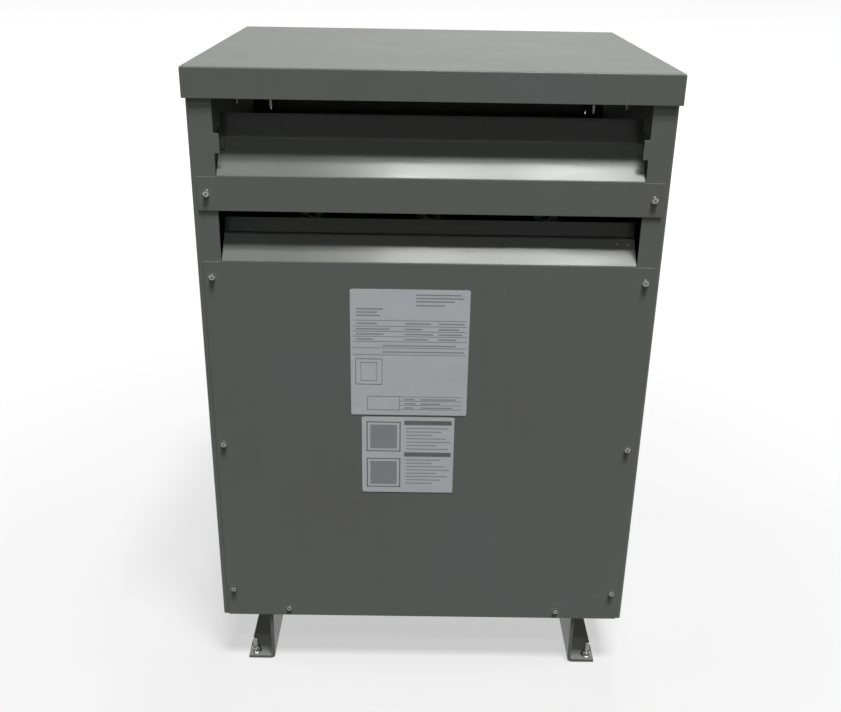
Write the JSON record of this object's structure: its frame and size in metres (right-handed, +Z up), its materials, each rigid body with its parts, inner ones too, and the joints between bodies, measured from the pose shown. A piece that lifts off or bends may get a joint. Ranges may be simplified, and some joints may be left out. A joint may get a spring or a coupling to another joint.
{
  "type": "dry-type transformer",
  "caption": "Floor-standing ventilated dry-type transformer: grey sheet-steel case with louvred vents, lift-off cover, screwed panels and foot rails around a three-leg core.",
  "frame": {"origin": "middle of the enclosure, on the plane that the foot rails stand on", "axes": "+Z up, front of the enclosure towards -Y, +X to the right when seen from the front"},
  "size_m": [0.7254, 0.6079, 1.0588],
  "materials": {
    "grey_paint": "satin grey powder coat",
    "zinc": "zinc plated",
    "rubber": "moulded, matt",
    "core_steel": "varnished laminations",
    "winding_paper": "insulating paper under varnish",
    "varnished_winding": "wrapped and varnished",
    "terminal_board": "glass polyester board",
    "aluminium": "bare bar",
    "sticker": "satin vinyl"
  },
  "bodies": {
    "enclosure": {"side_panel_left": "grey_paint", "side_panel_right": "grey_paint", "header_front": "grey_paint", "header_rear": "grey_paint", "header_screw_1": "zinc", "header_screw_2": "zinc", "header_screw_3": "zinc", "header_screw_4": "zinc", "foot_rail_left": "grey_paint", "foot_rail_right": "grey_paint", "sill_front": "grey_paint", "sill_rear": "grey_paint", "cross_rail_front": "grey_paint", "cross_rail_rear": "grey_paint", "vibration_pad_1": "rubber", "vibration_pad_2": "rubber", "vibration_pad_3": "rubber", "vibration_pad_4": "rubber", "anchor_stud_left": "zinc", "anchor_stud_right": "zinc", "anchor_nut_left": "zinc", "anchor_nut_right": "zinc", "core_yoke_lower": "core_steel", "core_yoke_upper": "core_steel", "core_leg_1": "core_steel", "core_leg_2": "core_steel", "core_leg_3": "core_steel", "inner_winding_1": "winding_paper", "inner_winding_2": "winding_paper", "inner_winding_3": "winding_paper", "outer_winding_1": "varnished_winding", "outer_winding_2": "varnished_winding", "outer_winding_3": "varnished_winding", "lower_clamp_front": "grey_paint", "lower_clamp_rear": "grey_paint", "upper_clamp_front": "grey_paint", "upper_clamp_rear": "grey_paint", "terminal_board": "terminal_board", "bus_bar_1": "aluminium", "bus_bar_2": "aluminium", "bus_bar_3": "aluminium", "ground_lug": "aluminium"},
    "front_cover_panel": {"front_panel": "grey_paint", "rating_sticker": "sticker", "safety_sticker": "sticker", "panel_screw_1": "zinc", "panel_screw_2": "zinc", "panel_screw_3": "zinc", "panel_screw_4": "zinc", "panel_screw_5": "zinc", "panel_screw_6": "zinc", "panel_screw_7": "zinc", "panel_screw_8": "zinc"},
    "front_vent": {"front_vent_bar": "grey_paint", "bar_screw_1": "zinc", "bar_screw_2": "zinc"},
    "rear_cover_panel": {"rear_panel": "grey_paint"},
    "rear_vent": {"rear_vent_bar": "grey_paint"},
    "cover": {"top_cover": "grey_paint"}
  },
  "joints": [
    {"name": "front_panel_slide", "type": "slide", "parent": "enclosure", "child": "front_cover_panel", "axis": [0, -1, 0], "range_m": [0, 0.3]},
    {"name": "front_vent_bar_slide", "type": "slide", "parent": "enclosure", "child": "front_vent", "axis": [0, -1, 0], "range_m": [0, 0.3]},
    {"name": "rear_panel_slide", "type": "slide", "parent": "enclosure", "child": "rear_cover_panel", "axis": [0, 1, 0], "range_m": [0, 0.3]},
    {"name": "rear_vent_bar_slide", "type": "slide", "parent": "enclosure", "child": "rear_vent", "axis": [0, 1, 0], "range_m": [0, 0.3]},
    {"name": "top_cover_lift", "type": "slide", "parent": "enclosure", "child": "cover", "axis": [0, 0, 1], "range_m": [0, 0.3]}
  ]
}
